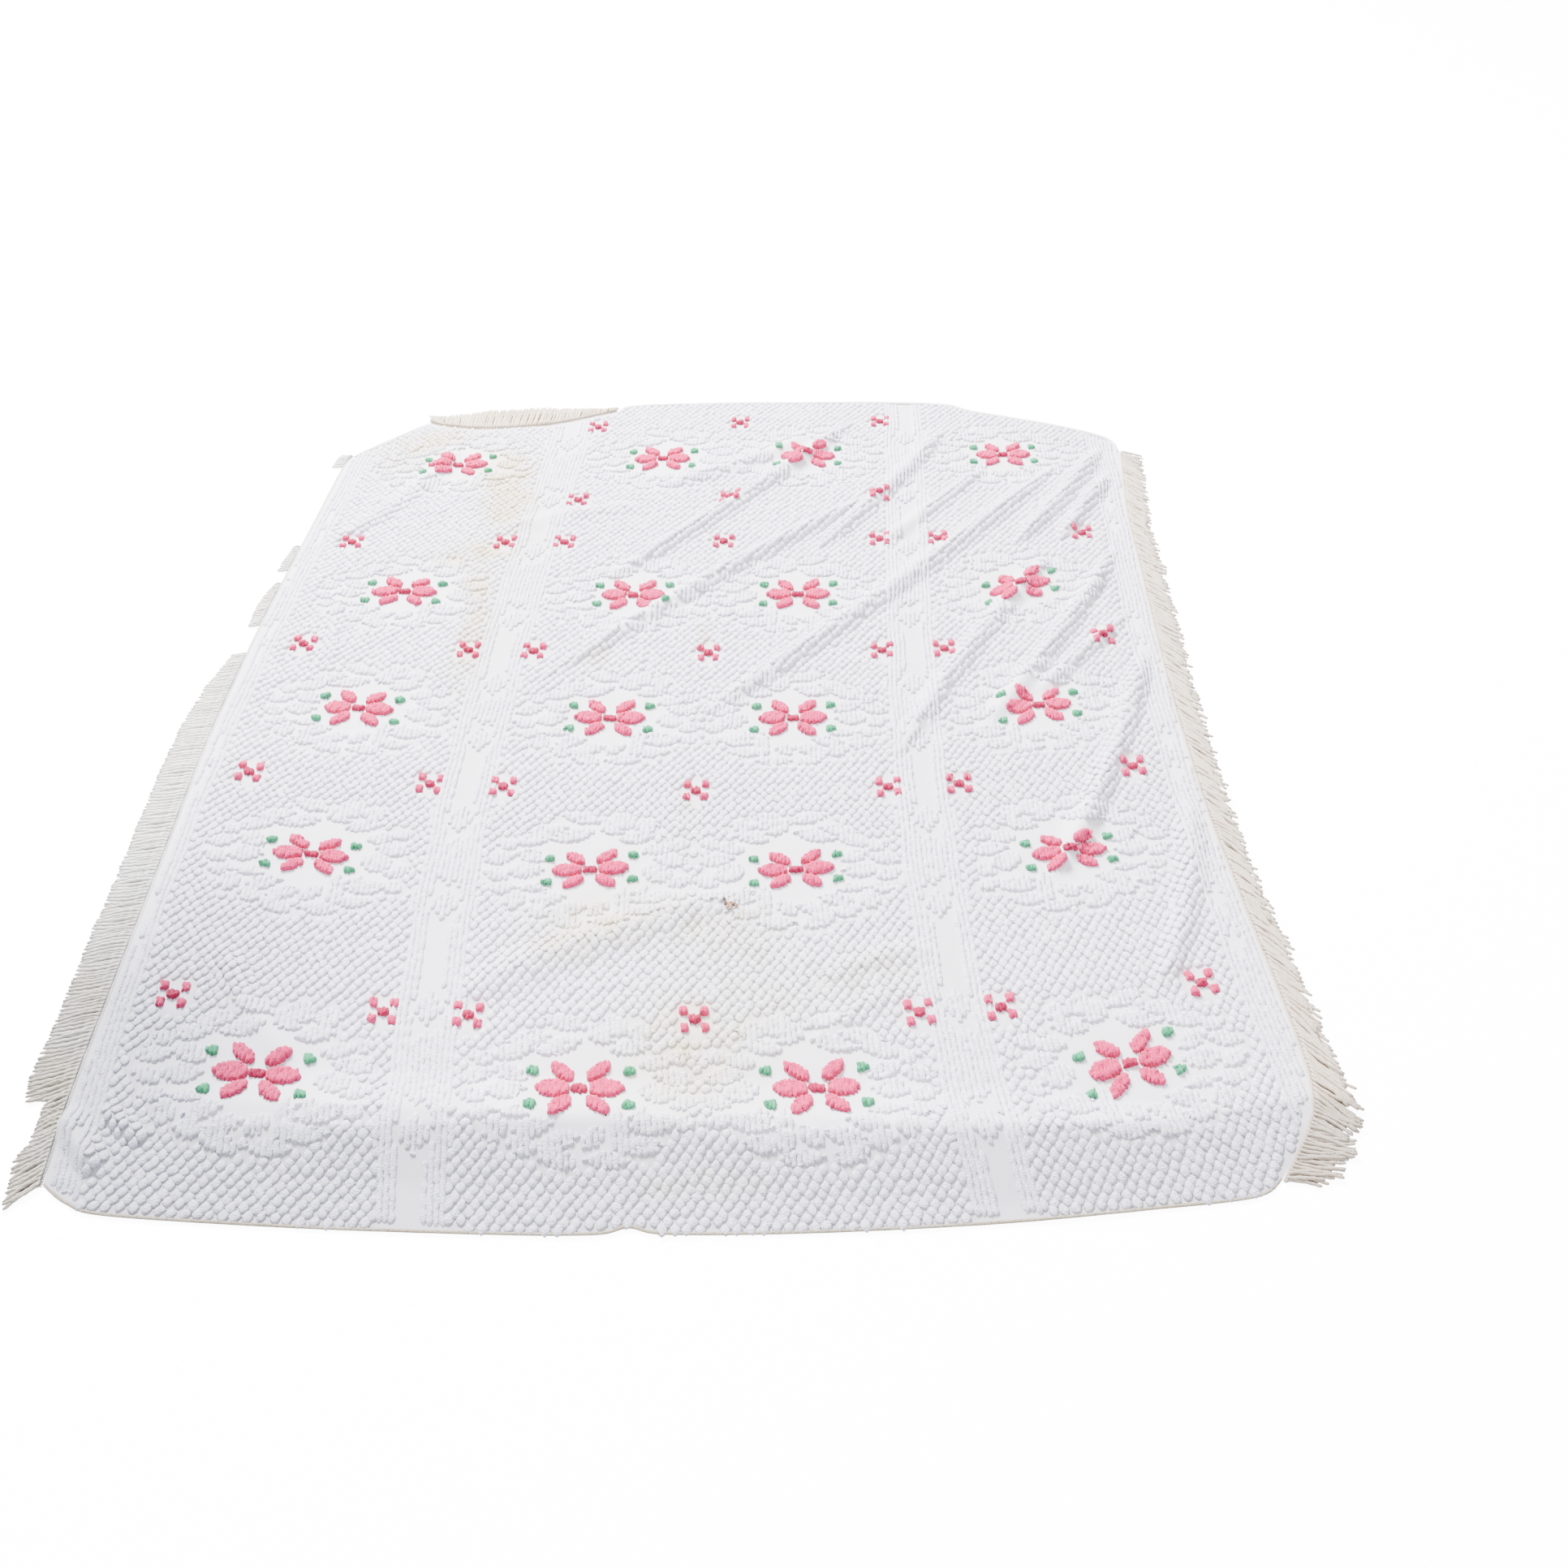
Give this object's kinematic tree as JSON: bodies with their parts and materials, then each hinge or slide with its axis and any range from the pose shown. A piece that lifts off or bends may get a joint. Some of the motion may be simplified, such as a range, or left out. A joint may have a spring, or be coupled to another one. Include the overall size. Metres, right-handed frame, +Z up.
{
  "type": "chenille bedspread",
  "caption": "White tufted chenille bedspread with pink flowers and green leaves, laid out flat and slightly rumpled, with fringe on three sides",
  "frame": {"origin": "under the middle of the spread's box, on the flat ground that it lies on", "axes": "+Z up, +X across the spread to the long side whose fringe is whole, +Y along it from the head hem to the foot"},
  "size_m": [2.4942, 2.671, 0.027],
  "materials": {
    "white_chenille": "matt tufted cotton",
    "cream_fringe": "matt twisted cotton",
    "pink_tuft": "matt cut cotton tufts",
    "rose_tuft": "matt cut cotton tufts",
    "green_tuft": "matt cut cotton tufts"
  },
  "bodies": {
    "root": {"tufted_cloth": "white_chenille", "fringe_left": "cream_fringe", "fringe_right": "cream_fringe", "fringe_foot": "cream_fringe"}
  },
  "joints": []
}
